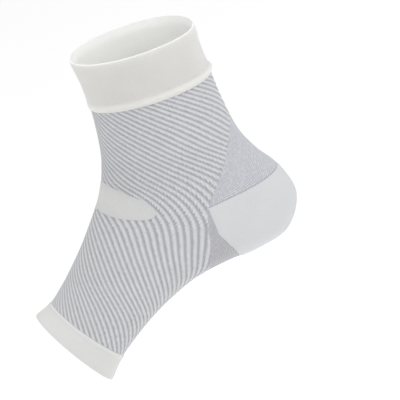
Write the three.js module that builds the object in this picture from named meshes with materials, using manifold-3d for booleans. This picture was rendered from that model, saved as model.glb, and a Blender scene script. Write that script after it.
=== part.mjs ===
// Open-toe arch support sleeve: a knitted tube with a folded ankle cuff, a spiral-ribbed body, plain knitted
// panels above and below a heel cup, an oval patch over the instep and a toe band, as worn on a right foot.
// Millimetres, +Z up the leg, toes towards -Y, the inner side of the foot towards +X.
// The origin is the centre of the ankle, inside the sleeve on the axis of the leg.

import * as THREE from "three";
import { mergeVertices } from "three/addons/utils/BufferGeometryUtils.js";
import Module from "manifold-3d";

// Sizes of the sleeve as worn, over the face of the knit
const LEG_DEPTH = 77; // front to back over the leg
const LEG_WIDTH = 68; // side to side over the leg
const RIM_HEIGHT = 97; // ankle centre up to the rim of the cuff
const HEEL_REACH = 62; // ankle centre back to the heel
const HEEL_DROP = 52; // ankle centre down to the underside of the heel
const TOE_REACH = 114; // ankle centre forward to the top of the toe rim
const TOE_DROP = 85.5; // ankle centre down to the underside of the toe rim
const FOOT_WIDTH = 82; // side to side at the toe rim
const TOE_SLANT = 8; // degrees that the toe rim runs forward towards the inner side of the foot

// Walls and edges
const KNIT_WALL = 1.6; // single knit of the body and panels
const CUFF_WALL = 2.6; // cuff, folded double
const CUFF_HEIGHT = 33.3; // rim to the lower edge of the cuff
const ROLL_HEIGHT = 6; // rolled lower edge of the cuff
const ROLL_BULGE = 0.9; // how far the roll stands out from the cuff
const ROLL_CLEARANCE = 9; // lowest part of the cuff, shaped by the roll alone
const HEEL_WALL = 2.1; // looped knit of the heel cup
const OVAL_WALL = 1.9; // patch over the instep
const BAND_WALL = 2.1; // toe band
const BAND_LENGTH = 14.5; // toe band along the foot
const SEAM_GAP = 0.3; // between neighbouring knitted zones

// Corner where the heel zones meet at the side of the ankle
const APEX_BACK = -0.6;
const APEX_DROP = 9.2;

// Edges that run from that corner in the side view: degrees above the backward direction, and where an edge
// bends, the share of HEEL_DROP that it runs before the bend
const UPPER_PANEL_EDGE = [{ degrees: 47.5 }];
const CUP_TOP_EDGE = [{ degrees: 0 }];
const CUP_FRONT_EDGE = [{ degrees: -87, share: 0.35 }, { degrees: -63 }];
const LOWER_PANEL_EDGE = [{ degrees: -106 }];

// Oval patch over the instep
const OVAL_WIDTH = 84; // around the ankle
const OVAL_LENGTH = 16.5; // along the sleeve
const OVAL_FROM_RIM = 86.5; // rim to the middle of the patch, down the front
const OVAL_SQUARENESS = 2.8; // 2 is a true oval, more has blunter ends

// Sections from the rim to the toes. Each is an oval between a front point and a back point, given as shares
// of the sizes named in BASES. width is a share of the half width. A full share squares off that half of the
// oval, and slant is the share of the toe rim's slant.
const LEG_SECTIONS = [
  { front_y: 1.0, front_z: 1.015, back_y: 0.99, back_z: 0.968,
    width: 1.0, front_full: 0, back_full: 0.2, slant: 0.25 },
  { front_y: 0.95, front_z: 0.845, back_y: 0.97, back_z: 0.79,
    width: 0.97, front_full: 0, back_full: 0.05, slant: 0 },
  { front_y: 0.96, front_z: 0.675, back_y: 1.0, back_z: 0.626,
    width: 1.0, front_full: 0, back_full: 0, slant: 0 },
  { front_y: 1.01, front_z: 0.5, back_y: 1.02, back_z: 0.44,
    width: 1.0, front_full: 0.02, back_full: 0, slant: 0 },
];
const HEEL_SECTIONS = [
  { front_y: 1.07, front_z: 0.7, back_y: 0.68, back_z: 0.4,
    width: 1.0, front_full: 0.05, back_full: 0, slant: 0 },
  { front_y: 1.13, front_z: 0.57, back_y: 0.79, back_z: 0.08,
    width: 1.01, front_full: 0.08, back_full: 0.05, slant: 0 },
  { front_y: 1.2, front_z: 0.45, back_y: 0.93, back_z: -0.2,
    width: 1.01, front_full: 0.12, back_full: 0.15, slant: 0 },
  { front_y: 1.28, front_z: 0.345, back_y: 1.0, back_z: -0.6,
    width: 1.0, front_full: 0.15, back_full: 0.25, slant: 0 },
  { front_y: 1.385, front_z: 0.23, back_y: 0.8, back_z: -0.93,
    width: 0.98, front_full: 0.15, back_full: 0.3, slant: 0 },
  { front_y: 1.53, front_z: 0.105, back_y: 0.46, back_z: -1.0,
    width: 0.98, front_full: 0.12, back_full: 0.3, slant: 0 },
  { front_y: 1.705, front_z: -0.05, back_y: 0.1, back_z: -0.98,
    width: 1.0, front_full: 0.1, back_full: 0.3, slant: 0 },
];
const FOOT_SECTIONS = [
  { front_y: 0.64, front_z: 0.132, back_y: 0.138, back_z: 0.6,
    width: 0.87, front_full: 0.08, back_full: 0.28, slant: 0.1 },
  { front_y: 0.717, front_z: 0.238, back_y: 0.311, back_z: 0.65,
    width: 0.9, front_full: 0.06, back_full: 0.25, slant: 0.35 },
  { front_y: 0.798, front_z: 0.342, back_y: 0.48, back_z: 0.732,
    width: 0.94, front_full: 0.05, back_full: 0.2, slant: 0.65 },
  { front_y: 0.9, front_z: 0.438, back_y: 0.656, back_z: 0.87,
    width: 0.97, front_full: 0.05, back_full: 0.15, slant: 0.9 },
  { front_y: 1.0, front_z: 0.471, back_y: 0.752, back_z: 1.0,
    width: 1.0, front_full: 0.05, back_full: 0.1, slant: 1.0 },
];

// Sizes that the shares of each table follow, signed so that the front of the foot lies towards -Y
const BASES = {
  leg: { front_y: -LEG_DEPTH / 2, front_z: RIM_HEIGHT, back_y: LEG_DEPTH / 2, back_z: RIM_HEIGHT,
    width: LEG_WIDTH / 2 },
  heel: { front_y: -LEG_DEPTH / 2, front_z: HEEL_DROP, back_y: HEEL_REACH, back_z: HEEL_DROP,
    width: LEG_WIDTH / 2 },
  foot: { front_y: -TOE_REACH, front_z: -TOE_DROP, back_y: -TOE_REACH, back_z: -TOE_DROP,
    width: FOOT_WIDTH / 2 },
};

// Fineness of the facets
const STEPS_AROUND = 40;
const STEP_ALONG = 8; // longest facet along the sleeve
const STEPS_EDGE = 3; // round edge of a wall
const STEPS_ROLL = 6;
const RINGS_OVAL = 5;
const SIDES_OVAL = 32;
const STEPS_OF_LENGTH = 600; // for lengths measured along a line
const CURVE_TENSION = 0.5; // of the lines through the sections
const LEAST_STEP = 0.15; // of a section, between an edge and the next row of facets
const DERIVATIVE_STEP = 1e-3;
const CUTTER_REACH = 300; // how far the wedges of the heel zones run past the sleeve
const CUTTER_DEPTH = 4; // how far a cutter stands off both faces of the wall

const COLOURS = { white: 0xdcdcda, grey: 0xc3c4c9, heel: 0xdadbde };
const KNIT_ROUGHNESS = 0.95;

const wasm = await Module();
wasm.setup();

const radians = THREE.MathUtils.degToRad;

function sectionsInMillimetres() {
  const inMillimetres = (rows, base) =>
    rows.map((row) => ({
      front: new THREE.Vector3(0, row.front_y * base.front_y, row.front_z * base.front_z),
      back: new THREE.Vector3(0, row.back_y * base.back_y, row.back_z * base.back_z),
      shape: new THREE.Vector3(row.width * base.width, row.front_full, row.back_full),
      slant: new THREE.Vector3(row.slant * Math.tan(radians(TOE_SLANT)), 0, 0),
    }));
  return [
    ...inMillimetres(LEG_SECTIONS, BASES.leg),
    ...inMillimetres(HEEL_SECTIONS, BASES.heel),
    ...inMillimetres(FOOT_SECTIONS, BASES.foot),
  ];
}

const sections = sectionsInMillimetres();
const lastSection = sections.length - 1;
const lineThrough = (name) => {
  const points = sections.map((row) => row[name]);
  return new THREE.CatmullRomCurve3(points, false, "catmullrom", CURVE_TENSION);
};
const frontLine = lineThrough("front");
const backLine = lineThrough("back");
const shapeLine = lineThrough("shape");
const slantLine = lineThrough("slant");

// Point on the face of the knit: station counts sections from the rim, and turn runs from the front over the
// inner side
function facePoint(station, turn) {
  const share = THREE.MathUtils.clamp(station / lastSection, 0, 1);
  const front = frontLine.getPoint(share);
  const back = backLine.getPoint(share);
  const { x: halfWidth, y: frontFull, z: backFull } = shapeLine.getPoint(share);
  const cos = Math.cos(turn);
  const point = front.clone().lerp(back, (1 - cos) / 2);
  point.x = halfWidth * Math.sin(turn) * (1 + (cos > 0 ? frontFull : backFull) * cos * cos);
  const towardsToes = new THREE.Vector3(0, back.z - front.z, front.y - back.y).normalize();
  return point.addScaledVector(towardsToes, slantLine.getPoint(share).x * point.x);
}

// Directions at a point of the face: along the sleeve towards the toes, and around it, in mm per unit
function faceDirections(station, turn) {
  const low = Math.max(station - DERIVATIVE_STEP, 0);
  const high = Math.min(station + DERIVATIVE_STEP, lastSection);
  const along = facePoint(high, turn).sub(facePoint(low, turn)).divideScalar(high - low);
  const around = facePoint(station, turn + DERIVATIVE_STEP)
    .sub(facePoint(station, turn - DERIVATIVE_STEP))
    .divideScalar(2 * DERIVATIVE_STEP);
  return { along, around };
}

// Point of the wall: shift is in mm along the sleeve from the station, and height in mm above the face
function wallPoint(station, shift, turn, height) {
  const moved = station + shift / faceDirections(station, turn).along.length();
  const { along, around } = faceDirections(moved, turn);
  return facePoint(moved, turn).addScaledVector(along.cross(around).normalize(), height);
}

// Share of a line, 0 to 1, at a length from its start
function shareAtLength(line, length) {
  let travelled = 0;
  for (let i = 1; i <= STEPS_OF_LENGTH; i++) {
    const step = line(i / STEPS_OF_LENGTH).distanceTo(line((i - 1) / STEPS_OF_LENGTH));
    if (travelled + step >= length) return (i - 1 + (length - travelled) / step) / STEPS_OF_LENGTH;
    travelled += step;
  }
  return 1;
}

const centreLine = (share) => frontLine.getPoint(share).lerp(backLine.getPoint(share), 0.5);
const centreLineFromToes = (share) => centreLine(1 - share);
const cuffStation = lastSection * shareAtLength(centreLine, CUFF_HEIGHT);
const bandStation = lastSection * (1 - shareAtLength(centreLineFromToes, BAND_LENGTH));
const ovalStation = lastSection * shareAtLength((share) => frontLine.getPoint(share), OVAL_FROM_RIM);

// Stations of the facets, closer together where the sections lie further apart
const facetStations = sections.slice(1).flatMap(({ front, back }, i) => {
  const longest = Math.max(front.distanceTo(sections[i].front), back.distanceTo(sections[i].back));
  const count = Math.ceil(longest / STEP_ALONG);
  return Array.from({ length: count }, (_, k) => i + k / count);
});

function geometryOf(vertices, faces) {
  const geometry = new THREE.BufferGeometry().setFromPoints(vertices);
  return geometry.setIndex(faces.flat());
}

// Joins rows of vertices numbered around a closed row into quads split in two
function bandFaces(rowA, rowB, count) {
  const faces = [];
  for (let j = 0; j < count; j++) {
    const next = (j + 1) % count;
    faces.push([rowA + j, rowB + j, rowA + next], [rowA + next, rowB + j, rowB + next]);
  }
  return faces;
}

// Closed ring of wall: profile lists [station, shift, height] once round the wall's cut, outside first
function ringOfWall(profile) {
  const turns = Array.from({ length: STEPS_AROUND }, (_, j) => (2 * Math.PI * j) / STEPS_AROUND);
  const vertices = profile.flatMap(([station, shift, height]) =>
    turns.map((turn) => wallPoint(station, shift, turn, height)),
  );
  const faces = profile.flatMap((_, i) =>
    bandFaces(i * STEPS_AROUND, ((i + 1) % profile.length) * STEPS_AROUND, STEPS_AROUND),
  );
  return geometryOf(vertices, faces);
}

// Half-round edge of a wall from its outer to its inner face, at a station; inwards is +1 at the rim side
function roundEdge(station, shift, outer, inner, inwards) {
  const radius = (outer - inner) / 2;
  return Array.from({ length: STEPS_EDGE + 1 }, (_, i) => {
    const angle = Math.PI * (0.5 - i / STEPS_EDGE);
    const height = inner + radius + radius * Math.sin(angle);
    return [station, shift + inwards * radius * (1 - Math.cos(angle)), height];
  });
}

// Wall between two stations with a plain or rolled face and round edges
function wallProfile(start, startShift, end, endShift, outer, outerRows = []) {
  const inner = -KNIT_WALL;
  const isInside = (station) => station > start + LEAST_STEP && station < end - LEAST_STEP;
  const middle = facetStations.filter(isInside);
  return [
    ...roundEdge(start, startShift, outer, inner, 1).reverse(),
    ...middle.map((station) => [station, 0, outer]),
    ...outerRows,
    ...roundEdge(end, endShift, outer, inner, -1),
    ...middle.map((station) => [station, 0, inner]).reverse(),
  ];
}

function cuffGeometry() {
  const face = CUFF_WALL - KNIT_WALL;
  const roll = Array.from({ length: STEPS_ROLL }, (_, i) => {
    const share = i / STEPS_ROLL;
    const height = face + ROLL_BULGE * Math.sin(Math.PI * share);
    return [cuffStation, -ROLL_HEIGHT * (1 - share) - SEAM_GAP, height];
  });
  const rollStart = lastSection * shareAtLength(centreLine, CUFF_HEIGHT - ROLL_CLEARANCE);
  const profile = wallProfile(0, 0, cuffStation, 0, face, roll);
  const isUnderRoll = ([station, , height]) =>
    height === face && station > rollStart && station < cuffStation;
  return ringOfWall(profile.filter((row) => !isUnderRoll(row)));
}

function bandGeometry() {
  return ringOfWall(wallProfile(bandStation, 0, lastSection, 0, BAND_WALL - KNIT_WALL));
}

// Tube from the cuff to the toe band, with its own wall
function bodyTube(wall) {
  return ringOfWall(wallProfile(cuffStation, SEAM_GAP, bandStation, -SEAM_GAP, wall - KNIT_WALL));
}

// Oval disc of wall over the instep; margin in mm is taken off its edge
function ovalDisc(outer, inner, margin) {
  const halfTurn = (share) => facePoint(ovalStation, share * Math.PI);
  const halfAround = Math.PI * shareAtLength(halfTurn, OVAL_WIDTH / 2 - margin);
  const halfAlong = OVAL_LENGTH / 2 - margin;
  const blunt = (value) => Math.sign(value) * Math.abs(value) ** (2 / OVAL_SQUARENESS);
  const vertices = [outer, inner].flatMap((height) => [
    wallPoint(ovalStation, 0, 0, height),
    ...Array.from({ length: RINGS_OVAL * SIDES_OVAL }, (_, i) => {
      const share = (Math.floor(i / SIDES_OVAL) + 1) / RINGS_OVAL;
      const angle = (2 * Math.PI * (i % SIDES_OVAL)) / SIDES_OVAL;
      const turn = share * halfAround * blunt(Math.sin(angle));
      return wallPoint(ovalStation, share * halfAlong * blunt(Math.cos(angle)), turn, height);
    }),
  ]);
  const innerStart = vertices.length / 2;
  const rim = (RINGS_OVAL - 1) * SIDES_OVAL + 1;
  const faces = bandFaces(rim, innerStart + rim, SIDES_OVAL);
  for (let j = 0; j < SIDES_OVAL; j++) {
    const next = (j + 1) % SIDES_OVAL;
    faces.push([0, 1 + j, 1 + next], [innerStart, innerStart + 1 + next, innerStart + 1 + j]);
  }
  for (let ring = 0; ring < RINGS_OVAL - 1; ring++) {
    const row = 1 + ring * SIDES_OVAL;
    faces.push(...bandFaces(row, row + SIDES_OVAL, SIDES_OVAL));
    faces.push(...bandFaces(innerStart + row + SIDES_OVAL, innerStart + row, SIDES_OVAL));
  }
  return geometryOf(vertices, faces);
}

const direction = (degrees) => new THREE.Vector2(Math.cos(radians(degrees)), Math.sin(radians(degrees)));

// Points of a zone edge after its start: where it bends, and past the sleeve
function edgePoints(edge, start) {
  const points = [];
  edge.forEach(({ degrees, share }) => {
    const from = points.at(-1) ?? start;
    const length = share ? share * HEEL_DROP : CUTTER_REACH;
    points.push(direction(degrees).multiplyScalar(length).add(from));
  });
  return points;
}

// Wedge across the whole sleeve with its corner at the apex, between two edges of the side view;
// margin in mm is taken off both edges
function heelWedge(upperEdge, lowerEdge, margin) {
  const upper = upperEdge[0].degrees;
  const lower = lowerEdge[0].degrees;
  const inset = margin / Math.sin(radians((upper - lower) / 2));
  const corner = direction((upper + lower) / 2).multiplyScalar(inset).add({ x: APEX_BACK, y: -APEX_DROP });
  const upperPoints = edgePoints(upperEdge, corner);
  const farPoint = upperPoints.at(-1).clone().add(edgePoints(lowerEdge, corner).at(-1)).sub(corner);
  const outline = [corner, ...edgePoints(lowerEdge, corner), farPoint, ...upperPoints.reverse()];
  const extrusion = { depth: CUTTER_REACH, bevelEnabled: false };
  const prism = new THREE.ExtrudeGeometry(new THREE.Shape(outline), extrusion);
  prism.translate(0, 0, -CUTTER_REACH / 2);
  const sideView = new THREE.Matrix4().makeBasis(
    new THREE.Vector3(0, 1, 0),
    new THREE.Vector3(0, 0, 1),
    new THREE.Vector3(1, 0, 0),
  );
  return prism.applyMatrix4(sideView);
}

function solidOf(geometry) {
  const bare = new THREE.BufferGeometry().setAttribute("position", geometry.getAttribute("position"));
  const merged = mergeVertices(geometry.index ? bare.setIndex(geometry.index) : bare);
  return new wasm.Manifold(
    new wasm.Mesh({
      numProp: 3,
      vertProperties: merged.getAttribute("position").array,
      triVerts: new Uint32Array(merged.index.array),
    }),
  );
}

function geometryOfSolid(solid) {
  const { vertProperties, triVerts } = solid.getMesh();
  const geometry = new THREE.BufferGeometry();
  geometry.setAttribute("position", new THREE.BufferAttribute(vertProperties, 3));
  return geometry.setIndex(new THREE.BufferAttribute(triVerts, 1));
}

// Part of a tube of wall inside a wedge
function heelZone(wall, upperEdge, lowerEdge) {
  const wedge = heelWedge(upperEdge, lowerEdge, SEAM_GAP / 2);
  return geometryOfSolid(solidOf(bodyTube(wall)).intersect(solidOf(wedge)));
}

function ribbedBody() {
  return geometryOfSolid(
    solidOf(bodyTube(KNIT_WALL))
      .subtract(solidOf(heelWedge(UPPER_PANEL_EDGE, LOWER_PANEL_EDGE, -SEAM_GAP / 2)))
      .subtract(solidOf(ovalDisc(CUTTER_DEPTH, -CUTTER_DEPTH, 0))),
  );
}

function knit(name, geometry, color) {
  const faceted = geometry.index ? geometry.toNonIndexed() : geometry;
  faceted.computeVertexNormals();
  const mesh = new THREE.Mesh(faceted, new THREE.MeshStandardMaterial({ color, roughness: KNIT_ROUGHNESS }));
  mesh.name = name;
  return mesh;
}

const sleeve = new THREE.Group();
sleeve.add(
  knit("ankle_cuff", cuffGeometry(), COLOURS.white),
  knit("ribbed_body", ribbedBody(), COLOURS.grey),
  knit("achilles_panel", heelZone(KNIT_WALL, UPPER_PANEL_EDGE, CUP_TOP_EDGE), COLOURS.grey),
  knit("heel_cup", heelZone(HEEL_WALL, CUP_TOP_EDGE, CUP_FRONT_EDGE), COLOURS.heel),
  knit("under_heel_panel", heelZone(KNIT_WALL, CUP_FRONT_EDGE, LOWER_PANEL_EDGE), COLOURS.grey),
  knit("instep_oval", ovalDisc(OVAL_WALL - KNIT_WALL, -KNIT_WALL, SEAM_GAP), COLOURS.white),
  knit("toe_band", bandGeometry(), COLOURS.white),
);

export default sleeve;
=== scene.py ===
"""Arch support sleeve: its knitted zones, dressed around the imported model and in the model's own frame.

Metres, +Z up the leg, toes towards -Y, the inner side of the foot towards +X. Every zone is a sheet of knit,
wrapped onto one form, the sleeve's worn shape, given its wall and cut along the zone's edges.
"""

import logging
import math
from abc import ABC, abstractmethod
from collections.abc import Callable
from dataclasses import dataclass, field
from enum import Enum
from functools import cached_property

import bpy
import numpy as np
from mathutils import Matrix, Vector


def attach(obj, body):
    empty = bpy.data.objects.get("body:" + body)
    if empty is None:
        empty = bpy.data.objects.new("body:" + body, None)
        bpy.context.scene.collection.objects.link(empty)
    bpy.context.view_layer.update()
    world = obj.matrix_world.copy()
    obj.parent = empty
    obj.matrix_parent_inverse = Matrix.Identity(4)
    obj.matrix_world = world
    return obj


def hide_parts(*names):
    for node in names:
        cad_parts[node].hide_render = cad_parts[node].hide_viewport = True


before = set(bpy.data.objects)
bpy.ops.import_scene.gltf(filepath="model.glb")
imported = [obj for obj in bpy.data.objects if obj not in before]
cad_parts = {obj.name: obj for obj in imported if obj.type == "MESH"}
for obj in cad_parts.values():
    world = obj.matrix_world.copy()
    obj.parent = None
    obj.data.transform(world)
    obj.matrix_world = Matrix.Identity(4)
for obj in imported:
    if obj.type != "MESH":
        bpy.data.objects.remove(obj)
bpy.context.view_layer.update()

MM = 0.001
FULL_TURN = 2 * math.pi
LEAST_EDGE = 0.01 * MM  # points nearer than this are one
EDGE_REACH = 3 * MM  # how far in from a zone's edge its finish can differ
SECTION_PITCH = 18 * MM  # mean distance between sections, to count courses by
SMOOTH_ANGLE = math.radians(50)

log = logging.getLogger("sleeve")

Array = np.ndarray
Piece = bpy.types.Object
Socket = bpy.types.NodeSocket
Step = tuple[Callable, dict[str, object]]
Edge = tuple[tuple[float, float | None], ...]


# The worn shape


def travelled(line: Array) -> Array:
    """How far along a line of points each of them lies, in metres."""
    return np.concatenate([[0], np.cumsum(np.linalg.norm(np.diff(line, axis=0), axis=1))])


@dataclass(frozen=True)
class Section:
    """One oval across the sleeve, in shares of its part's sizes, and how the ribs run there."""

    front_y: float
    front_z: float
    back_y: float
    back_z: float
    width: float
    front_full: float
    back_full: float
    slant: float
    ribs_passed: float  # ribs that cross the front line since the section before
    front_crowd: float  # how much closer the ribs lie at the front, and wider at the back
    inner_crowd: float  # how much closer on the inner side, and wider on the outer side
    side_crowd: float  # how much closer at both sides, and wider at the front and back


class Zone(Enum):
    """Part of the sleeve whose named sizes a section's shares follow."""

    LEG = "leg"
    HEEL = "heel"
    FOOT = "foot"


@dataclass(frozen=True)
class Lay:
    """Where a flat sheet's vertices go on the form."""

    station: Array
    turn: Array
    across: Array  # the numbers of the map that carries the pattern
    along: Array
    height: Array | float = 0.0  # metres above the face of the knit
    shift: Array | float = 0.0  # metres from the station, towards the toes


@dataclass
class SleeveForm:
    """The face of the knit as worn. Station counts sections from the rim; turn runs from the front line, 0,
    over the inner side, half pi, to the back line, pi."""

    leg_depth: float = 77 * MM
    leg_width: float = 68 * MM
    rim_height: float = 97 * MM
    heel_reach: float = 62 * MM
    heel_drop: float = 52 * MM
    toe_reach: float = 114 * MM
    toe_drop: float = 85.5 * MM
    foot_width: float = 82 * MM
    toe_slant: float = math.tan(math.radians(8))
    cuff_height: float = 33.3 * MM
    band_length: float = 14.5 * MM
    oval_from_rim: float = 84.7 * MM
    ribs: int = 45
    derivative_step: float = 1e-3
    length_steps: int = 600
    sections: dict[Zone, tuple[Section, ...]] = field(
        default_factory=lambda: {
            Zone.LEG: (
                Section(1.0, 1.015, 0.99, 0.968, 1.0, 0, 0.2, 0.25, 0, 0.14, 0, 0.2),
                Section(0.95, 0.845, 0.97, 0.79, 0.97, 0, 0.05, 0, 5.4, 0.14, 0, 0.2),
                Section(0.96, 0.675, 1.0, 0.626, 1.0, 0, 0, 0, 5.6, 0.14, 0, 0.2),
                Section(1.01, 0.5, 1.02, 0.44, 1.0, 0.02, 0, 0, 4.8, 0.14, 0, 0.2),
            ),
            Zone.HEEL: (
                Section(1.07, 0.7, 0.68, 0.4, 1.0, 0.05, 0, 0, 3.7, 0.14, 0, 0.18),
                Section(1.13, 0.57, 0.79, 0.08, 1.01, 0.08, 0.05, 0, 2.4, 0.12, 0.02, 0.1),
                Section(1.2, 0.45, 0.93, -0.2, 1.01, 0.12, 0.15, 0, 1.8, 0.1, 0.08, 0.14),
                Section(1.28, 0.345, 1.0, -0.6, 1.0, 0.15, 0.25, 0, 2.0, 0.08, 0.2, 0.3),
                Section(1.385, 0.23, 0.8, -0.93, 0.98, 0.15, 0.3, 0, 2.5, 0.06, 0.26, 0.36),
                Section(1.53, 0.105, 0.46, -1.0, 0.98, 0.12, 0.3, 0, 2.6, 0.06, 0.28, 0.32),
                Section(1.705, -0.05, 0.1, -0.98, 1.0, 0.1, 0.3, 0, 2.8, 0.06, 0.26, 0.18),
            ),
            Zone.FOOT: (
                Section(0.64, 0.132, 0.138, 0.6, 0.87, 0.08, 0.28, 0.1, 2.8, 0.04, 0.15, 0.08),
                Section(0.717, 0.238, 0.311, 0.65, 0.9, 0.06, 0.25, 0.35, 3.4, 0, 0.02, 0.02),
                Section(0.798, 0.342, 0.48, 0.732, 0.94, 0.05, 0.2, 0.65, 4.4, -0.02, -0.14, 0),
                Section(0.9, 0.438, 0.656, 0.87, 0.97, 0.05, 0.15, 0.9, 5.0, -0.02, -0.2, 0),
                Section(1.0, 0.471, 0.752, 1.0, 1.0, 0.05, 0.1, 1.0, 4.9, 0, -0.22, 0),
            ),
        }
    )

    @cached_property
    def table(self) -> Array:
        """The sections in metres.

        Returns:
            A row for each, with its sizes, the ribs passed so far and how they crowd.
        """
        depth = self.leg_depth / 2
        toes = (-self.toe_reach, -self.toe_drop)
        bases = {
            Zone.LEG: (-depth, self.rim_height, depth, self.rim_height, self.leg_width / 2),
            Zone.HEEL: (-depth, self.heel_drop, self.heel_reach, self.heel_drop, self.leg_width / 2),
            Zone.FOOT: (*toes, *toes, self.foot_width / 2),
        }
        rows, ribs = [], 0.0
        for zone, sections in self.sections.items():
            for s in sections:
                ribs += s.ribs_passed
                shares = (s.front_y, s.front_z, s.back_y, s.back_z, s.width)
                row = [share * base for share, base in zip(shares, bases[zone])]
                crowds = (s.front_crowd, s.inner_crowd, s.side_crowd)
                rows.append([*row, s.front_full, s.back_full, s.slant * self.toe_slant, ribs, *crowds])
        return np.array(rows)

    @property
    def last(self) -> float:
        """The station of the toe rim."""
        return len(self.table) - 1

    def columns(self, station: Array) -> Array:
        """Interpolates the table's columns along smooth lines through the sections.

        Args:
            station: stations, of any shape.

        Returns:
            The table's columns at each station, along a new first axis.
        """
        rows = self.table
        at = np.clip(np.asarray(station, float), 0, self.last)
        i = np.minimum(at.astype(int), len(rows) - 2)
        w = (at - i)[..., None]
        longer = np.vstack([2 * rows[0] - rows[1], rows, 2 * rows[-1] - rows[-2]])
        before, start, end, after = longer[i], longer[i + 1], longer[i + 2], longer[i + 3]
        leave, arrive = (end - before) / 2, (after - start) / 2
        cubic = 2 * start - 2 * end + leave + arrive
        square = -3 * start + 3 * end - 2 * leave - arrive
        return np.moveaxis(cubic * w**3 + square * w**2 + leave * w + start, -1, 0)

    def face(self, station: Array, turn: Array) -> Array:
        """Points on the face of the knit.

        Args:
            station: stations along the sleeve.
            turn: turns around it, in radians.

        Returns:
            Points, with x, y and z along the last axis.
        """
        station, turn = np.broadcast_arrays(np.asarray(station, float), np.asarray(turn, float))
        fy, fz, by, bz, half, front_full, back_full, slant = self.columns(station)[:8]
        cos = np.cos(turn)
        share = (1 - cos) / 2
        x = half * np.sin(turn) * (1 + np.where(cos > 0, front_full, back_full) * cos**2)
        to_toes_y, to_toes_z = bz - fz, fy - by
        lean = slant * x / np.hypot(to_toes_y, to_toes_z)
        y = fy + (by - fy) * share + lean * to_toes_y
        z = fz + (bz - fz) * share + lean * to_toes_z
        return np.stack([x, y, z], -1)

    def directions(self, station: Array, turn: Array) -> tuple[Array, Array]:
        """How the face's points change.

        Args:
            station: stations along the sleeve.
            turn: turns around it, in radians.

        Returns:
            The change along the sleeve, per station, and around it, per radian.
        """
        step = self.derivative_step
        low, high = np.maximum(station - step, 0), np.minimum(station + step, self.last)
        along = (self.face(high, turn) - self.face(low, turn)) / (high - low)[..., None]
        around = (self.face(station, turn + step) - self.face(station, turn - step)) / (2 * step)
        return along, around

    def wall(self, lay: Lay) -> Array:
        """Points of the wall.

        Args:
            lay: where they go.

        Returns:
            Points, with x, y and z along the last axis.
        """
        numbers = np.broadcast_arrays(lay.station, lay.shift, lay.turn, lay.height)
        station, shift, turn, height = (np.array(a, float) for a in numbers)
        along, _ = self.directions(station, turn)
        moved = station + shift / np.linalg.norm(along, axis=-1)
        along, around = self.directions(moved, turn)
        outwards = np.cross(along, around)
        outwards /= np.linalg.norm(outwards, axis=-1, keepdims=True)
        return self.face(moved, turn) + outwards * height[..., None]

    def station_after(self, length: float, turn: float | None) -> float:
        """Finds the station at a length along the sleeve.

        Args:
            length: metres from the cuff's rim, or if less than 0, back from the toe rim.
            turn: the turn whose line is measured, or None for the sleeve's middle line.

        Returns:
            The station.
        """
        stations = np.linspace(0, self.last, self.length_steps + 1)
        if turn is None:
            line = (self.face(stations, 0.0) + self.face(stations, math.pi)) / 2
        else:
            line = self.face(stations, turn)
        lengths = travelled(line)
        wanted = length if length >= 0 else lengths[-1] + length
        return float(np.interp(wanted, lengths, stations))

    @cached_property
    def cuff_station(self) -> float:
        """The station of the cuff's lower edge."""
        return self.station_after(self.cuff_height, None)

    @cached_property
    def band_station(self) -> float:
        """The station where the toe band begins."""
        return self.station_after(-self.band_length, None)

    @cached_property
    def oval_station(self) -> float:
        """The station of the middle of the instep oval."""
        return self.station_after(self.oval_from_rim, 0.0)

    def turn_of_rib(self, rib: Array, station: float) -> Array:
        """Where ribs cross a section.

        Args:
            rib: rib numbers, from 0 to the number of ribs.
            station: the section's station.

        Returns:
            The turn of each.
        """
        passed, front, inner, side = self.columns(station)[8:]
        turn = np.linspace(0, FULL_TURN, self.length_steps + 1)
        crowded = turn + front * np.sin(turn) + inner * (1 - np.cos(turn)) - side / 2 * np.sin(2 * turn)
        wanted = FULL_TURN * (rib + passed) / self.ribs
        whole = np.floor(wanted / FULL_TURN) * FULL_TURN
        return whole + np.interp(wanted - whole, crowded, turn)


@dataclass(frozen=True)
class HeelEdges:
    """Edges of the heel's zones in the side view: where they start, and their angles in degrees above the
    backward direction. An edge that bends gives the length of its first run as a share of the drop."""

    drop: float
    apex_back: float = -0.6 * MM
    apex_drop: float = 9.2 * MM
    upper_panel: Edge = ((47.5, None),)
    cup_top: Edge = ((0.0, None),)
    cup_front: Edge = ((-87.0, 0.35), (-63.0, None))
    lower_panel: Edge = ((-106.0, None),)
    reach: float = 300 * MM

    @property
    def apex(self) -> Array:
        """The corner where all the edges start, as y and z."""
        return np.array([self.apex_back, -self.apex_drop])

    def points(self, edge: Edge) -> list[Array]:
        """The points of an edge.

        Args:
            edge: the edge's runs.

        Returns:
            Its points in order, as y and z.
        """
        found = [self.apex]
        for degrees, share in edge:
            length = self.reach if share is None else share * self.drop
            angle = math.radians(degrees)
            found.append(found[-1] + length * np.array([math.cos(angle), math.sin(angle)]))
        return found

    def distance(self, points: Array, edge: Edge) -> Array:
        """How far points lie from an edge in the side view.

        Args:
            points: points in space.
            edge: the edge's runs.

        Returns:
            Distances in metres.
        """
        corners = self.points(edge)
        nearest = np.full(len(points), np.inf)
        for a, b in zip(corners, corners[1:]):
            run = b - a
            share = np.clip(((points[:, 1:] - a) @ run) / (run @ run), 0, 1)
            away = np.linalg.norm(points[:, 1:] - a - share[:, None] * run, axis=1)
            nearest = np.minimum(nearest, away)
        return nearest

    def nearest(self, points: Array, *edges: Edge) -> Array:
        """How far points lie from the nearest of some edges, in metres."""
        return np.min([self.distance(points, edge) for edge in edges], axis=0)


# Meshes, made with Blender's own tools


class Cut(Enum):
    """What a cutter leaves of a mesh, as the Boolean modifier's own operation."""

    OUTSIDE = "DIFFERENCE"
    INSIDE = "INTERSECT"


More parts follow.
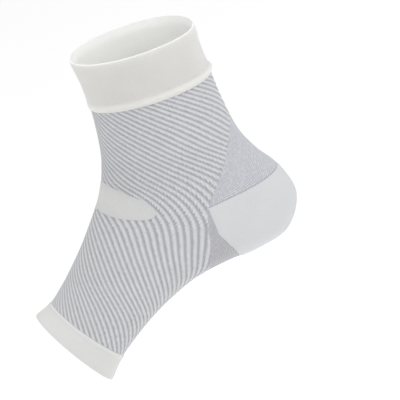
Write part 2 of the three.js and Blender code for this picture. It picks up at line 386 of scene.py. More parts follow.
def select_only(piece: Piece) -> None:
    """Selects one object alone and makes it active.

    Args:
        piece: the object.
    """
    bpy.ops.object.select_all(action="DESELECT")
    piece.select_set(True)
    bpy.context.view_layer.objects.active = piece


def edit(piece: Piece, *steps: Step) -> None:
    """Runs edit-mode operators on all of a piece.

    Args:
        piece: the object.
        steps: each an operator and its settings.
    """
    select_only(piece)
    bpy.ops.object.mode_set(mode="EDIT")
    bpy.ops.mesh.select_mode(type="VERT")
    bpy.ops.mesh.select_all(action="SELECT")
    for operator, settings in steps:
        operator(**settings)
    bpy.ops.object.mode_set(mode="OBJECT")


def modify(piece: Piece, kind: str, **settings: object) -> None:
    """Adds a modifier and applies it.

    Args:
        piece: the object.
        kind: the modifier's type.
        settings: what is set on it.
    """
    select_only(piece)
    bpy.ops.object.modifier_add(type=kind)
    modifier = piece.modifiers[-1]
    for name, value in settings.items():
        setattr(modifier, name, value)
    bpy.ops.object.modifier_apply(modifier=modifier.name)


def points_of(piece: Piece) -> Array:
    """The places of a mesh's vertices.

    Args:
        piece: the object.

    Returns:
        A row for each, with x, y and z.
    """
    places = np.empty(len(piece.data.vertices) * 3)
    piece.data.vertices.foreach_get("co", places)
    return places.reshape(-1, 3)


def move_points(piece: Piece, places: Array) -> None:
    """Puts a mesh's vertices at new places."""
    piece.data.vertices.foreach_set("co", np.asarray(places, float).ravel())
    piece.data.update()


def write_uv(piece: Piece, name: str, across: Array, along: Array) -> None:
    """Gives a mesh a UV map.

    Args:
        piece: the object.
        name: the map's name.
        across: its first number at each vertex.
        along: its second number at each vertex.
    """
    layer = piece.data.uv_layers.new(name=name)
    corner = np.empty(len(piece.data.loops), int)
    piece.data.loops.foreach_get("vertex_index", corner)
    layer.uv.foreach_set("vector", np.stack([across, along], -1)[corner].ravel())


def flat_sheet(name: str, columns: int, rows: int) -> tuple[Piece, Array, Array]:
    """Adds a flat grid to be wrapped onto the form.

    Args:
        name: the piece's name.
        columns: faces across.
        rows: faces along.

    Returns:
        The object, and each vertex's column and row. Rows count down, so that the wrapped faces point out.
    """
    bpy.ops.object.select_all(action="DESELECT")
    bpy.ops.mesh.primitive_grid_add(x_subdivisions=columns, y_subdivisions=rows, size=1)
    piece = bpy.context.object
    piece.name = piece.data.name = name
    places = points_of(piece) + 0.5
    column = np.rint(places[:, 0] * columns).astype(int)
    row = np.rint((1 - places[:, 1]) * rows).astype(int)
    return piece, column, row


def wedge_cutter(edges: HeelEdges, upper: Edge, lower: Edge) -> Piece:
    """A prism across the sleeve, to cut with. In the side view it fills the wedge between two edges.

    Args:
        edges: the heel's edges.
        upper: the runs of the wedge's upper edge.
        lower: the runs of its lower edge.

    Returns:
        The cutter, a closed mesh.
    """
    reach, rising, falling = edges.reach, edges.points(upper), edges.points(lower)
    outline = [*falling, rising[-1] + falling[-1] - edges.apex, *reversed(rising[1:])]
    bpy.ops.object.select_all(action="DESELECT")
    bpy.ops.mesh.primitive_circle_add(vertices=len(outline), fill_type="NGON")
    cutter = bpy.context.object
    move_points(cutter, [(-reach / 2, y, z) for y, z in outline])
    extrusion = {"TRANSFORM_OT_translate": {"value": (reach, 0, 0)}}
    edit(
        cutter,
        (bpy.ops.mesh.extrude_region_move, extrusion),
        (bpy.ops.mesh.select_all, {"action": "SELECT"}),
        (bpy.ops.mesh.normals_make_consistent, {"inside": False}),
    )
    return cutter


def cut(piece: Piece, cutter: Piece, kept: Cut) -> None:
    """Cuts a closed mesh with another and removes the cutter. Making all of it triangles, before and after,
    keeps it closed.

    Args:
        piece: the mesh to cut.
        cutter: the closed mesh that cuts it.
        kept: what stays of the mesh.
    """
    to_triangles = (bpy.ops.mesh.quads_convert_to_tris, {})
    edit(cutter, to_triangles)
    edit(piece, to_triangles)
    modify(piece, "BOOLEAN", operation=kept.value, solver="MANIFOLD", object=cutter)
    bpy.data.objects.remove(cutter)
    edit(piece, to_triangles)


def open_points(piece: Piece) -> int:
    """Looks for places where a mesh isn't closed.

    Args:
        piece: the object.

    Returns:
        How many of its vertices lie on an edge that doesn't join just two faces.
    """
    deselect = (bpy.ops.mesh.select_all, {"action": "DESELECT"})
    edit(piece, deselect, (bpy.ops.mesh.select_non_manifold, {}))
    return sum(vertex.select for vertex in piece.data.vertices)


def smooth_step(value: Array, low: float, high: float) -> Array:
    """0 up to low, 1 from high, and a smooth rise between."""
    share = np.clip((value - low) / (high - low), 0, 1)
    return share * share * (3 - 2 * share)


# Materials


class Value:
    """A number's socket in a material, so that sums on it read as Python."""

    def __init__(self, nodes: "Finish", socket: Socket) -> None:
        """Wraps a socket of the material that nodes builds."""
        self.nodes, self.socket = nodes, socket

    def __add__(self, other: "Value | float") -> "Value":
        """Sum."""
        return self.nodes.sum("ADD", self, other)

    __radd__ = __add__

    def __sub__(self, other: "Value | float") -> "Value":
        """Difference."""
        return self.nodes.sum("SUBTRACT", self, other)

    def __rsub__(self, other: float) -> "Value":
        """Difference from a number."""
        return self.nodes.sum("SUBTRACT", other, self)

    def __mul__(self, other: "Value | float") -> "Value":
        """Product."""
        return self.nodes.sum("MULTIPLY", self, other)

    __rmul__ = __mul__


class Finish:
    """One procedural material, built node by node."""

    SHEEN_SPREAD = 0.6
    SPECULAR = 0.25

    def __init__(self, name: str, roughness: float, sheen: float) -> None:
        """Starts a material with a plain matte shader.

        Args:
            name: the material's name.
            roughness: its mean roughness.
            sheen: how much soft light its fibres catch.
        """
        self.material = bpy.data.materials.new(name)
        self.material.use_nodes = True
        self.tree = self.material.node_tree
        self.shader = next(n for n in self.tree.nodes if n.type == "BSDF_PRINCIPLED")
        self.hold({"Roughness": roughness, "Specular IOR Level": self.SPECULAR})
        self.hold({"Sheen Weight": sheen, "Sheen Roughness": self.SHEEN_SPREAD})

    def hold(self, values: dict[str, object]) -> None:
        """Sets constants on the shader's own sockets."""
        for name, value in values.items():
            self.shader.inputs[name].default_value = value

    def node(
        self, kind: str, settings: dict[str, object], sockets: dict[str | int, object], output: str | int = 0
    ) -> Value:
        """Adds a node.

        Args:
            kind: the node's type.
            settings: what is set on it first.
            sockets: values or links of its inputs, by name or number.
            output: the output that is used.

        Returns:
            That output.
        """
        made = self.tree.nodes.new(kind)
        for name, value in settings.items():
            setattr(made, name, value)
        for name, value in sockets.items():
            if isinstance(value, Value):
                self.tree.links.new(value.socket, made.inputs[name])
            else:
                made.inputs[name].default_value = value
        return Value(self, made.outputs[output])

    def sum(self, operation: str, *values: Value | float) -> Value:
        """A Math node on values and numbers."""
        return self.node("ShaderNodeMath", {"operation": operation}, dict(enumerate(values)))

    def uv(self, name: str) -> tuple[Value, Value]:
        """Reads one of the piece's own UV maps.

        Args:
            name: the map's name.

        Returns:
            Its two numbers.
        """
        place = self.node("ShaderNodeUVMap", {"uv_map": name}, {})
        across = self.node("ShaderNodeSeparateXYZ", {}, {"Vector": place}, "X")
        return across, Value(self, across.socket.node.outputs["Y"])

    def rise(self, value: Value, low: float, high: float) -> Value:
        """0 up to low, 1 from high, and a smooth rise between."""
        sockets = {"Value": value, "From Min": low, "From Max": high}
        return self.node("ShaderNodeMapRange", {"interpolation_type": "SMOOTHSTEP"}, sockets, "Result")

    def noise(self, scale: float, detail: float) -> Value:
        """Soft noise between 0 and 1 over the object's coordinates, scale being its waves in a metre."""
        place = self.node("ShaderNodeTexCoord", {}, {}, "Object")
        return self.node("ShaderNodeTexNoise", {}, dict(Vector=place, Scale=scale, Detail=detail), "Fac")

    def mix(self, factor: Value, first: object, second: object) -> Value:
        """A colour between two colours, the first where the factor is 0 and the second where it is 1."""
        sockets = {"Factor": factor, 6: first, 7: second}  # by number, since names repeat
        return self.node("ShaderNodeMix", {"data_type": "RGBA"}, sockets, 2)

    def shade(self, colour: object, factor: Value) -> Value:
        """A colour made darker or lighter by a factor."""
        sockets = {0: colour, "Scale": factor}
        return self.node("ShaderNodeVectorMath", {"operation": "SCALE"}, sockets, "Vector")

    def finish(self, colour: Value, roughness: Value, height: Value, depth: float) -> bpy.types.Material:
        """Joins the colour, the roughness and the relief to the shader.

        Args:
            colour: base colour.
            roughness: roughness.
            height: relief from 0 to 1.
            depth: the relief's depth in metres.

        Returns:
            The finished material.
        """
        sockets = {"Height": height, "Strength": 1.0, "Distance": depth}
        relief = self.node("ShaderNodeBump", {}, sockets, "Normal")
        for name, value in (("Base Color", colour), ("Roughness", roughness), ("Normal", relief)):
            self.tree.links.new(value.socket, self.shader.inputs[name])
        return self.material


@dataclass(frozen=True)
class Yarn:
    """Colour of a yarn, as the shader's own linear red, green and blue."""

    red: float
    green: float
    blue: float

    @property
    def colour(self) -> tuple[float, float, float, float]:
        """The colour with full cover."""
        return (self.red, self.green, self.blue, 1.0)


CUFF_WHITE = Yarn(0.655, 0.65, 0.63)
# the cuff's inside: whiter yarn, partly painted light in place of light through the wall; also the painted
# highlight on the cuff's rim and ridge
INNER_WHITE_AND_PAINTED_LIGHT = Yarn(0.93, 0.925, 0.885)
BAND_WHITE = Yarn(0.69, 0.69, 0.68)
# painted highlight: the lighter tone of the toe band's rim and ridge
BAND_PAINTED_HIGHLIGHT = Yarn(0.76, 0.76, 0.75)
PATCH_WHITE = Yarn(0.65, 0.65, 0.64)
PATCH_EDGE = Yarn(0.60, 0.60, 0.60)
RIB_WHITE = Yarn(0.645, 0.65, 0.67)
HEEL_WHITE = Yarn(0.645, 0.655, 0.665)
GROUND_GREY = Yarn(0.37, 0.37, 0.40)
PANEL_GREY = Yarn(0.46, 0.47, 0.51)
PANEL_FLECK = Yarn(0.69, 0.70, 0.74)
UNDER_GREY = Yarn(0.42, 0.415, 0.44)
UNDER_FLECK = Yarn(0.55, 0.54, 0.57)


@dataclass(frozen=True)
class Stitches:
    """What a knit's colour and relief are worked out from."""

    wale: Value
    course: Value
    height: Value  # of the yarn in each stitch, from 0 to 1
    mottle: Value  # drift of tone over a few centimetres
    fuzz: Value  # fibres


@dataclass(frozen=True)
class KnitFinish:
    """Plain knit in one yarn, with a second tone where the piece's map says, as along its edges."""

    name: str
    yarn: Yarn
    second_yarn: Yarn
    painted_stitch_shade: float
    grain: float = 0.08
    drift: float = 0.05
    stitch_depth: float = 0.10 * MM
    leg_share: float = 0.65  # of the stitch's relief, what its legs make
    leg_lead: float = 0.4  # how far a stitch's row runs ahead at its legs
    mean_height: float = 0.6
    tone_drift: float = 0.1
    roughness: float = 0.9
    roughness_grain: float = 0.12
    fuzz_height: float = 0.4
    mottle_waves: float = 60.0
    mottle_detail: float = 3.0
    fuzz_waves: float = 700.0
    fuzz_detail: float = 2.0
    sheen: float = 0.15
    light_through: float = 0.0
    light_reach: float = 5 * MM

    def stitches(self, nodes: Finish) -> Stitches:
        """Lays out the stitches.

        Args:
            nodes: the material being built.

        Returns:
            The stitches and the noises over them.
        """
        wale, course = nodes.uv("stitches")
        leg = nodes.sum("ABSOLUTE", nodes.sum("SINE", wale * math.pi))
        row = nodes.sum("SINE", (course + leg * self.leg_lead) * FULL_TURN) * 0.5 + 0.5
        height = leg * self.leg_share + row * (1 - self.leg_share)
        mottle = nodes.noise(self.mottle_waves, self.mottle_detail)
        fuzz = nodes.noise(self.fuzz_waves, self.fuzz_detail)
        return Stitches(wale, course, height, mottle, fuzz)

    def colour(self, nodes: Finish, knit: Stitches) -> Value:
        """One yarn with a faint drift of tone, and the second tone by the piece's map.

        Args:
            nodes: the material being built.
            knit: its stitches.

        Returns:
            The colour.
        """
        _, edge = nodes.uv("ribs")
        # on the cuff and the toe band the second tone is painted highlight on the rim and ridge, and on the
        # cuff's inside it is partly painted light
        second = edge + (knit.mottle - 0.5) * self.tone_drift
        return nodes.mix(second, self.yarn.colour, self.second_yarn.colour)

    def material(self) -> bpy.types.Material:
        """Builds the material.

        Returns:
            The material.
        """
        nodes = Finish(self.name, self.roughness, self.sheen)
        nodes.hold({"Subsurface Weight": self.light_through, "Subsurface Radius": (1.0, 1.0, 1.0)})
        nodes.hold({"Subsurface Scale": self.light_reach})
        knit = self.stitches(nodes)
        fibres = knit.fuzz - 0.5
        # painted shade and highlight: stitches darker where their yarn lies lower, lighter on top
        tone = 1 + self.painted_stitch_shade * (knit.height - self.mean_height)
        tone = tone + (knit.mottle - 0.5) * self.drift + fibres * self.grain
        roughness = self.roughness + fibres * self.roughness_grain
        relief = knit.height + knit.fuzz * self.fuzz_height
        colour = nodes.shade(self.colour(nodes, knit), tone)
        return nodes.finish(colour, roughness, relief, self.stitch_depth)


@dataclass(frozen=True)
class RibbedFinish(KnitFinish):
    """White ribs on a grey ground. The change of yarn steps from stitch to stitch, and some of the white
    shows as dots on the ground."""

    painted_stitch_shade: float = 0.32
    grain: float = 0.36
    stitch_depth: float = 0.14 * MM
    leg_share: float = 0.45
    edge_yarn: Yarn = PANEL_GREY
    stitch_step: float = 0.3  # shares of a rib by which a stitch, or its fibres, shift the change
    fibre_step: float = 0.3
    ground: tuple[float, float] = (0.15, 0.75)  # heights of a rib where the ground ends and the rib is full
    dots: tuple[float, float] = (0.35, 0.8)
    dot_fibres: float = 0.5
    dot_cover: float = 0.5
    edge: tuple[float, float] = (0.05, 0.35)
    edge_fibres: float = 0.6

    def colour(self, nodes: Finish, knit: Stitches) -> Value:
        """The ribs, the ground and its dots, and a narrow edge in the panels' yarn.

        Args:
            nodes: the material being built.
            knit: its stitches.

        Returns:
            The colour.
        """
        rib, inwards = nodes.uv("ribs")
        fibres = knit.fuzz - 0.5
        side = nodes.sum("PINGPONG", knit.wale, 0.5) - 0.25
        stepped = rib + side * self.stitch_step + fibres * self.fibre_step
        crest = nodes.sum("COSINE", stepped * FULL_TURN) * 0.5 + 0.5
        across = nodes.sum("SINE", knit.wale * FULL_TURN)
        dot = nodes.sum("SINE", knit.course * FULL_TURN) * across * 0.5 + 0.5
        dotted = nodes.rise(dot + fibres * self.dot_fibres, *self.dots) * self.dot_cover
        ground = (1 - nodes.rise(crest, *self.ground)) * (1 - dotted)
        ribs = nodes.mix(ground, self.yarn.colour, self.second_yarn.colour)
        inside = nodes.rise(inwards + fibres * self.edge_fibres, *self.edge)
        return nodes.mix(inside, self.edge_yarn.colour, ribs)


@dataclass(frozen=True)
class MeshFinish(KnitFinish):
    """Grey knit with light flecks between the stitches, and a darker line along its seam: partly the seam's
    own darker yarn, partly painted shade beside the raised heel cup.
    """

    painted_stitch_shade: float = 0.03
    grain: float = 0.25
    stitch_depth: float = 0.05 * MM
    leg_share: float = 0.35
    fleck_shift: float = 0.5
    fleck_fibres: float = 1.2
    fleck: tuple[float, float] = (0.1, 0.6)
    seam: tuple[float, float] = (0.1, 0.35)
    seam_line_and_painted_shade: float = 0.0

    def colour(self, nodes: Finish, knit: Stitches) -> Value:
        """The flecks and the seam's darker line, partly painted shade.

        Args:
            nodes: the material being built.
            knit: its stitches.

        Returns:
            The colour.
        """
        along = nodes.sum("SINE", (knit.course + knit.fuzz * self.fleck_shift) * math.pi)
        check = nodes.sum("SINE", knit.wale * math.pi) * along
        fleck = nodes.rise(check + (knit.fuzz - 0.5) * self.fleck_fibres, *self.fleck)
        # darker line along the seam: partly darker seam yarn, partly painted shade beside the raised heel
        # cup
        _, inwards = nodes.uv("ribs")
        seam = 1 - nodes.rise(inwards, *self.seam)
        mixed = nodes.mix(fleck, self.yarn.colour, self.second_yarn.colour)
        return nodes.shade(mixed, 1 - seam * self.seam_line_and_painted_shade)


# the fourth number of each is its painted stitch shade
CUFF_KNIT = KnitFinish("white cuff knit", CUFF_WHITE, INNER_WHITE_AND_PAINTED_LIGHT, 0.10, grain=0.05, light_through=0.8)
BAND_KNIT = KnitFinish("toe band knit", BAND_WHITE, BAND_PAINTED_HIGHLIGHT, 0.08, grain=0.05)
PATCH_KNIT = KnitFinish("patch knit", PATCH_WHITE, PATCH_EDGE, 0.14, grain=0.12)
HEEL_KNIT = KnitFinish("looped heel knit", HEEL_WHITE, HEEL_WHITE, 0.05, grain=0.04)
RIBBED_KNIT = RibbedFinish("ribbed knit", RIB_WHITE, GROUND_GREY)
# the back panel's darker seam line is partly painted shade beside the heel cup
PANEL_KNIT = MeshFinish("grey mesh knit", PANEL_GREY, PANEL_FLECK, seam_line_and_painted_shade=0.25)
UNDER_KNIT = MeshFinish("grey under-heel knit", UNDER_GREY, UNDER_FLECK)


# The sleeve's zones


@dataclass(frozen=True)
class Gauge:
    """How fine a zone is knitted: stitches once round, and the height of a row."""

    wales: int = 200
    course: float = 0.95 * MM


FINE_GAUGE = Gauge(240, 0.8 * MM)
RIB_GAUGE = Gauge(180, 1.2 * MM)
MESH_GAUGE = Gauge(260, 0.75 * MM)


@dataclass
class KnittedZone(ABC):
    """A zone of knit: how it is made and what it stands for."""

    form: SleeveForm
    edges: HeelEdges
    name: str
    node: str
    slot: str
    finish: KnitFinish
    flat: tuple[float, float]
    area: float | None = None
    gauge: Gauge = Gauge()
    wall: float = 1.6 * MM
    proud: float = 0.0  # how far the zone stands out from the form

    @abstractmethod
    def build(self) -> Piece:
        """Makes the piece's mesh."""

    def wrap(self, piece: Piece, lay: Lay) -> None:
        """Wraps a flat sheet onto the form and writes its UV maps.

        Args:
            piece: the flat sheet.
            lay: where its vertices go.
        """
        course = lay.station * SECTION_PITCH / self.gauge.course
        write_uv(piece, "ribs", lay.across, lay.along)
        write_uv(piece, "stitches", lay.turn / FULL_TURN * self.gauge.wales, course)
        move_points(piece, self.form.wall(lay))
        edit(piece, (bpy.ops.mesh.remove_doubles, {"threshold": LEAST_EDGE}))

    def dress(self, piece: Piece) -> None:
        """Finishes a piece: shading, material, its place under the root body, and the model's own part
        hidden.

        Args:
            piece: the piece.
        """
        select_only(piece)
        bpy.ops.object.shade_smooth_by_angle(angle=SMOOTH_ANGLE)
        piece.data.materials.clear()
        piece.data.materials.append(self.finish.material())
        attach(piece, "root")
        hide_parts(self.node)


@dataclass
class FoldedRing(KnittedZone):
    """A ring of folded knit at an end of the sleeve, with a round rim at its open end and a soft ridge at
    the other. Both carry a painted highlight, a lighter tone."""

    gauge: Gauge = FINE_GAUGE
    columns: int = 240
    rows_face: int = 24
    rows_edge: int = 8
    rim_at: float = 0.0  # share of the length where the open end is
    rim: float = 0.9 * MM  # thickness there
    rim_share: float = 0.15  # of the length, over which it thins to that
    rim_inset: float = 0.75  # of the thinning, what comes off the inside
    # painted highlight along the open rim
    rim_painted_highlight: float = 0.5
    rim_tone_share: float = 0.05
    end_hold: int = 8  # how near its ends the ring makes room for their round edges
    ridge_front: float = 0.3 * MM
    ridge_back: float = 0.3 * MM
    ridge_share: float = 0.14
    ridge_power: float = 1.0
    # painted highlight on the ridge
    ridge_painted_highlight: float = 0.5
    ridge_fade: tuple[float, float] = (0.5, 1.0)  # of the ridge's length, where its painted highlight fades
    # lighter tone of the inside, partly painted light
    inner_yarn_and_painted_light: float = 0.0

    @abstractmethod
    def ends(self) -> tuple[float, float]:
        """The stations of its ends."""

    def bulge(self, from_rim: Array, turn: Array) -> Array:
        """How far the ridge stands out.

        Args:
            from_rim: shares of the length from the open end.
            turn: turns around the sleeve.

        Returns:
            Metres above the rest of the face.
        """
        out = self.ridge_front + (self.ridge_back - self.ridge_front) * (1 - np.cos(turn)) / 2
        along = np.clip((1 - from_rim) / self.ridge_share, 0, 1)
        return out * np.sin(math.pi * along) ** self.ridge_power

    def tone(self, from_rim: Array, outer: Array) -> Array:
        """Where the ring is painted lighter: highlights on the ridge and the rim, and its inside.

        Args:
            from_rim: shares of the length from the open end.
            outer: 1 on the outer face and 0 elsewhere.

        Returns:
            The second tone's cover, from 0 to 1.
        """
        near, far = (self.ridge_share * part for part in self.ridge_fade)
        ridge = self.ridge_painted_highlight * (1 - smooth_step(1 - from_rim, near, far))
        rim = self.rim_painted_highlight * (1 - smooth_step(from_rim, 0, self.rim_tone_share))
        return np.maximum(np.maximum(ridge, rim), self.inner_yarn_and_painted_light * (1 - outer))

    def profile(self) -> Array:
        """The wall's cut, once round.

        Returns:
            A row for each point: share of the length, part of the half-round edge, 1 on the outer face and
            0 elsewhere, and height from 0 inside to 1 outside.
        """
        faces = [i / self.rows_face for i in range(self.rows_face + 1)]
        angles = [math.pi * i / self.rows_edge for i in range(1, self.rows_edge)]
        steps = [(share, 0.0, 1, 1.0) for share in faces]
        steps += [(1.0, math.sin(angle), 1, 0.5 + 0.5 * math.cos(angle)) for angle in angles]
        steps += [(1 - share, 0.0, 0, 0.0) for share in faces]
        steps += [(0.0, -math.sin(angle), 0, 0.5 - 0.5 * math.cos(angle)) for angle in angles]
        return np.array([*steps, steps[0]], float)

    def build(self) -> Piece:
        """Makes the piece's mesh.

        Returns:
            The piece.
        """
        start, end = self.ends()
        profile = self.profile()
        piece, column, row = flat_sheet(self.name, self.columns, len(profile) - 1)
        share, edge, outer, level = profile[row].T
        from_rim = np.abs(share - self.rim_at)
        turn = column / self.columns * FULL_TURN
        bulge = self.bulge(from_rim, turn)
        full = self.wall + self.proud
        thick = self.rim + (full - self.rim) * smooth_step(from_rim, 0, self.rim_share)
        from_middle = share - 0.5
        room = np.sign(from_middle) * (np.abs(from_middle) * 2) ** self.end_hold
        lay = Lay(
            start + (end - start) * share,
            turn,
            turn / FULL_TURN,
            # second tone's cover: painted highlight on the rim and ridge, and the cuff's lighter inside
            self.tone(from_rim, outer),
            -self.wall + (full - thick) * self.rim_inset + thick * level + bulge * level,
            edge * thick / 2 - thick / 2 * room,
        )
        self.wrap(piece, lay)
        return piece


@dataclass
class AnkleCuff(FoldedRing):
    """White cuff, folded double, its inside lighter, partly whiter yarn and partly painted light, and a
    ridge that stands out most at the back. Its rim and ridge carry painted highlights.
    """

    proud: float = 1.0 * MM
    rim_painted_highlight: float = 0.3
    rim_tone_share: float = 0.02
    ridge_back: float = 1.5 * MM
    ridge_share: float = 0.17
    ridge_power: float = 1.5
    ridge_painted_highlight: float = 0.35
    ridge_fade: tuple[float, float] = (0.6, 1.1)
    inner_yarn_and_painted_light: float = 1.0

    def ends(self) -> tuple[float, float]:
        """From the rim to the lower edge."""
        return 0.0, self.form.cuff_station


@dataclass
class ToeBand(FoldedRing):
    """White band round the toe opening, with a fine ridge where the ribs begin, and painted highlights on
    that ridge and on the rim.
    """

    proud: float = 0.5 * MM
    rim_at: float = 1.0

    def ends(self) -> tuple[float, float]:
        """From the ribs to the toe rim."""
        return self.form.band_station, self.form.last


@dataclass
class InstepOval(KnittedZone):
    """Plain white oval knitted into the front of the ankle bend, left bare."""

    proud: float = 0.3 * MM
    width: float = 84 * MM
    length: float = 16.5 * MM
    squareness: float = 2.5
    droop: float = 7 * MM  # how much nearer the toes its ends lie than its middle
    droop_power: float = 1.2
    steps: int = 48
    cutter_wall: float = 8 * MM

    def disc(self, name: str, height: float, wall: float) -> Piece:
        """A closed disc of the oval's shape, wrapped onto the form.

        Args:
            name: the piece's name.
            height: metres above the form's face, of its outer face.
            wall: its thickness.

        Returns:
            The piece.
        """
        form = self.form
        piece, column, row = flat_sheet(name, self.steps, self.steps)
        a, b = 2 * column / self.steps - 1, 2 * row / self.steps - 1
        across, along = a * np.sqrt(1 - b * b / 2), b * np.sqrt(1 - a * a / 2)
        radius, angle = np.hypot(across, along), np.arctan2(along, across)
        power = self.squareness
        reach = (np.abs(np.cos(angle)) ** power + np.abs(np.sin(angle)) ** power) ** (-1 / power)
        turns = np.linspace(0, math.pi, form.length_steps + 1)
        line = form.face(form.oval_station, turns)
        half_turn = float(np.interp(self.width / 2, travelled(line), turns))
        turn = radius * reach * np.cos(angle) * half_turn
        shift = radius * reach * np.sin(angle) * (self.length / 2)
        shift += self.droop * np.abs(turn / half_turn) ** self.droop_power
        station = np.full_like(turn, form.oval_station)
        self.wrap(piece, Lay(station, turn, turn / FULL_TURN, radius, height, shift))
        modify(piece, "SOLIDIFY", thickness=wall, offset=-1.0)
        return piece

    def build(self) -> Piece:
        """Makes the piece's mesh."""
        return self.disc(self.name, self.proud, self.wall + self.proud)

    def cutter(self) -> Piece:
        """The same oval, thicker than the wall, to cut its place out of the ribs."""
        return self.disc("oval_cutter", self.cutter_wall / 2, self.cutter_wall)


@dataclass(kw_only=True)
class RibbedBody(KnittedZone):
    """White ribs on a grey ground that wind down the leg and the foot, as real relief."""

    oval: InstepOval
    gauge: Gauge = RIB_GAUGE
    columns_per_rib: int = 8
    rows_per_section: int = 8
    rib_height: float = 0.35 * MM
    fade: float = 1.6 * MM

    def build(self) -> Piece:
        """Makes the piece's mesh.

        Returns:
            The piece.
        """
        form, edges = self.form, self.edges
        columns = form.ribs * self.columns_per_rib
        rows = math.ceil((form.band_station - form.cuff_station) * self.rows_per_section)
        piece, column, row = flat_sheet(self.name, columns, rows)
        stations = np.linspace(form.cuff_station, form.band_station, rows + 1)
        ribs = np.arange(columns + 1) / self.columns_per_rib
        turns = np.stack([form.turn_of_rib(ribs, station) for station in stations])
        station, turn, rib = stations[row], turns[row, column], ribs[column]
        heel = (edges.upper_panel, edges.lower_panel)
        gap = edges.nearest(form.face(station, turn), *heel)
        height = self.rib_height * smooth_step(gap, 0, self.fade) * (0.5 * np.cos(FULL_TURN * rib))
        self.wrap(piece, Lay(station, turn, rib, np.minimum(gap / EDGE_REACH, 1), height))
        modify(piece, "SOLIDIFY", thickness=self.wall, offset=-1.0)
        cut(piece, wedge_cutter(edges, *heel), Cut.OUTSIDE)
        cut(piece, self.oval.cutter(), Cut.OUTSIDE)
        return piece


@dataclass(kw_only=True)
class HeelZone(KnittedZone):
    """A plain zone at the heel, between two edges of the side view."""

    upper: Edge
    lower: Edge
    seam: Edge
    columns: int = 260
    rows: int = 150
    first_station: float = 2.0
    last_station: float = 13.0
    pillow: float = 2.0 * MM  # how far in from its edges the zone has its full height

    def build(self) -> Piece:
        """Makes the piece's mesh.

        Returns:
            The piece.
        """
        edges = self.edges
        piece, column, row = flat_sheet(self.name, self.columns, self.rows)
        turn = column / self.columns * FULL_TURN
        station = self.first_station + (self.last_station - self.first_station) * row / self.rows
        face = self.form.face(station, turn)
        inside = smooth_step(edges.nearest(face, self.upper, self.lower), 0, self.pillow)
        from_seam = np.minimum(edges.distance(face, self.seam) / EDGE_REACH, 1)
        self.wrap(piece, Lay(station, turn, turn / FULL_TURN, from_seam, self.proud * inside))
        modify(piece, "SOLIDIFY", thickness=self.wall + self.proud, offset=-1.0)
        cut(piece, wedge_cutter(edges, self.upper, self.lower), Cut.INSIDE)
        return piece


@dataclass
class Sleeve:
    """The whole sleeve: its form, and the zones that share it."""

    form: SleeveForm = field(default_factory=SleeveForm)

    def zones(self) -> list[KnittedZone]:
        """The zones, each with what sets it apart.

        Returns:
            The zones in the order in which they are made.
        """
        edges = HeelEdges(self.form.heel_drop)
        top, front = edges.cup_top, edges.cup_front
        both = (self.form, edges)
        cuff = AnkleCuff(*both, "cuff", "ankle_cuff", "cuff_knit", CUFF_KNIT, (0.19, 0.0345))
        band = ToeBand(*both, "toe_opening_band", "toe_band", "band_knit", BAND_KNIT, (0.185, 0.0155))
        names = ("instep_patch", "instep_oval", "patch_knit")
        oval = InstepOval(*both, *names, PATCH_KNIT, (0.078, 0.016), 0.00105)
        names = ("ribbed_knit", "ribbed_body", "ribbed_knit")
        body = RibbedBody(*both, *names, RIBBED_KNIT, (0.19, 0.185), 0.0240, oval=oval)
        names = ("back_panel", "achilles_panel", "panel_knit")
        between = {"upper": edges.upper_panel, "lower": top, "seam": top}
        back = HeelZone(*both, *names, PANEL_KNIT, (0.15, 0.045), 0.0034, MESH_GAUGE, **between)
        names = ("heel_pocket", "heel_cup", "heel_knit")
        between = {"upper": top, "lower": front, "seam": top, "proud": 0.5 * MM}
        cup = HeelZone(*both, *names, HEEL_KNIT, (0.125, 0.08), 0.0063, FINE_GAUGE, **between)
        names = ("arch_panel", "under_heel_panel", "panel_knit")
        between = {"upper": front, "lower": edges.lower_panel, "seam": front}
        arch = HeelZone(*both, *names, UNDER_KNIT, (0.12, 0.03), 0.0018, MESH_GAUGE, **between)
        return [cuff, band, oval, body, back, cup, arch]


# Stage


@dataclass(frozen=True)
class Lamp:
    """A soft round light that points at the sleeve."""

    name: str
    place: tuple[float, float, float]
    size: float
    power: float

    def add(self) -> None:
        """Adds the light to the scene."""
        data = bpy.data.lights.new(self.name, "AREA")
        data.shape, data.size, data.energy = "DISK", self.size, self.power
        light = bpy.data.objects.new(self.name, data)
        light.location = self.place
        light.rotation_euler = (-Vector(self.place)).to_track_quat("-Z", "Y").to_euler()
        light.visible_camera = False
        bpy.context.scene.collection.objects.link(light)


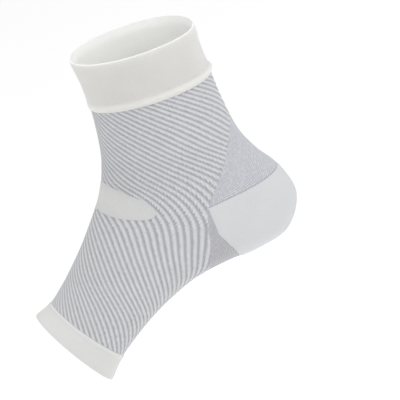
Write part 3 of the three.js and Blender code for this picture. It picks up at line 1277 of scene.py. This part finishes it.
@dataclass(frozen=True)
class Studio:
    """Plain pale floor, soft lights and the camera at the photograph's angle."""

    azimuth: float = math.radians(75)
    elevation: float = math.radians(16.5)
    roll: float = math.radians(20.5)
    distance: float = 4.0
    view_width: float = 0.24
    centre_right: float = 9 * MM
    centre_up: float = -9 * MM
    sensor: float = 36.0
    far_clip: float = 100.0
    floor_drop: float = 0.55
    floor_radius: float = 60.0
    floor_corners: int = 96
    floor_grey: float = 0.9
    floor_roughness: float = 0.9
    floor_glow: float = 0.27
    sky: float = 0.72
    lamps: tuple[Lamp, ...] = (
        Lamp("key", (0.8, 1.0, 1.7), 1.2, 12.0),
        Lamp("fill", (1.0, -1.3, 1.7), 1.4, 7.0),
        Lamp("far side", (-1.2, 0.2, 1.5), 1.4, 5.0),
    )

    def axes(self) -> tuple[Vector, Vector, Vector]:
        """The picture's directions in space.

        Returns:
            Right, up, and back to the camera.
        """
        a, e, r = self.azimuth, self.elevation, self.roll
        right = Vector((math.cos(a), math.sin(a), 0))
        back = Vector((math.sin(a) * math.cos(e), -math.cos(a) * math.cos(e), math.sin(e)))
        up = back.cross(right)
        return right * math.cos(r) - up * math.sin(r), right * math.sin(r) + up * math.cos(r), back

    def camera(self) -> None:
        """Makes the camera with a long lens."""
        right, up, back = self.axes()
        data = bpy.data.cameras.new("camera")
        data.sensor_width = self.sensor
        data.lens = self.sensor * self.distance / self.view_width
        data.clip_end = self.far_clip
        camera = bpy.data.objects.new("camera", data)
        bpy.context.scene.collection.objects.link(camera)
        turned = Matrix((right, up, back)).transposed().to_4x4()
        place = right * self.centre_right + up * self.centre_up + back * self.distance
        camera.matrix_world = Matrix.Translation(place) @ turned
        bpy.context.scene.camera = camera

    def lights(self) -> None:
        """Soft light from all round, stronger from above."""
        for lamp in self.lamps:
            lamp.add()
        world = bpy.data.worlds.new("studio")
        bpy.context.scene.world = world
        world.use_nodes = True
        background = next(n for n in world.node_tree.nodes if n.type == "BACKGROUND")
        background.inputs["Color"].default_value = (1.0, 1.0, 1.0, 1.0)
        background.inputs["Strength"].default_value = self.sky
        bpy.context.scene.view_settings.view_transform = "Standard"

    def floor(self) -> None:
        """A wide round floor, well below the sleeve."""
        bpy.ops.object.select_all(action="DESELECT")
        bpy.ops.mesh.primitive_circle_add(
            vertices=self.floor_corners, radius=self.floor_radius, fill_type="NGON"
        )
        floor = bpy.context.object
        floor.name = "floor"
        move_points(floor, points_of(floor) - np.array([0, 0, self.floor_drop]))
        pale = Finish("pale floor", self.floor_roughness, 0.0)
        grey = self.floor_grey
        pale.hold({"Base Color": (grey, grey, grey, 1.0), "Emission Color": (1.0, 1.0, 1.0, 1.0)})
        pale.hold({"Emission Strength": self.floor_glow})
        floor.data.materials.append(pale.material)


def main() -> None:
    """Builds the camera, the sleeve and the stage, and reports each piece."""
    logging.basicConfig(level=logging.INFO, format="%(name)s: %(message)s")
    studio = Studio()
    studio.camera()
    for zone in Sleeve().zones():
        piece = zone.build()
        zone.dress(piece)
        areas = [face.area for face in piece.data.polygons]
        counts = (len(areas), open_points(piece), sum(areas) / 2)
        log.info("%s: %d faces, %d open points, %.4f square metres of knit", piece.name, *counts)
    studio.floor()
    studio.lights()


if __name__ == "__main__":
    main()
